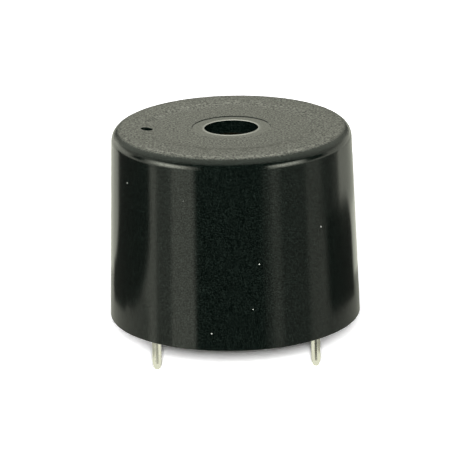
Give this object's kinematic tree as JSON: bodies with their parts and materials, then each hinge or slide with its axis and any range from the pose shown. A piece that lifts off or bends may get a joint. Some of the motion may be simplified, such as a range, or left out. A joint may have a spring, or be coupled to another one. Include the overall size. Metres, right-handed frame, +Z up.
{
  "type": "electronic buzzer",
  "caption": "Round black moulded buzzer with a sound hole and a polarity dot on top, standing on solder pins; a piezo disc inside is driven by a small oscillator board.",
  "frame": {"origin": "centre of the board seat, on the plane of the case's rim", "axes": "+Z up out of the sound hole, along the case's axis; the pins stand along X and point to -Z, the positive pin at -X under the polarity dot"},
  "size_m": [0.0238, 0.0238, 0.0242],
  "materials": {
    "case_plastic": "black moulded ABS, polished side wall, spark-textured top",
    "base_plastic": "black moulded ABS, fine matt texture",
    "seal_resin": "black epoxy resin, cured glossy",
    "tinned_pin": "bright tin plate over drawn brass",
    "phenolic_board": "paper-phenolic laminate, bare",
    "solder": "tin solder, satin",
    "transistor_epoxy": "black moulded epoxy",
    "tinned_wire": "tinned lead wire",
    "resistor_lacquer": "beige lacquer",
    "brass_sheet": "rolled brass sheet",
    "piezo_ceramic": "fired ceramic with a silver face",
    "silicone": "translucent white silicone",
    "red_insulation": "extruded PVC",
    "white_insulation": "extruded PVC",
    "black_insulation": "extruded PVC"
  },
  "bodies": {
    "root": {"case": "case_plastic", "base_plate": "base_plastic", "seal_bead": "seal_resin", "positive_pin": "tinned_pin", "negative_pin": "tinned_pin", "circuit_board": "phenolic_board", "solder_joints": "solder", "transistor_body": "transistor_epoxy", "transistor_leads": "tinned_wire", "bias_resistor": "resistor_lacquer", "base_resistor": "resistor_lacquer", "load_resistor": "resistor_lacquer", "resistor_leads": "tinned_wire", "diaphragm": "brass_sheet", "piezo_ceramic": "piezo_ceramic", "glue_ring": "silicone", "piezo_solder": "solder", "drive_wire": "red_insulation", "feedback_wire": "white_insulation", "ground_wire": "black_insulation"}
  },
  "joints": []
}
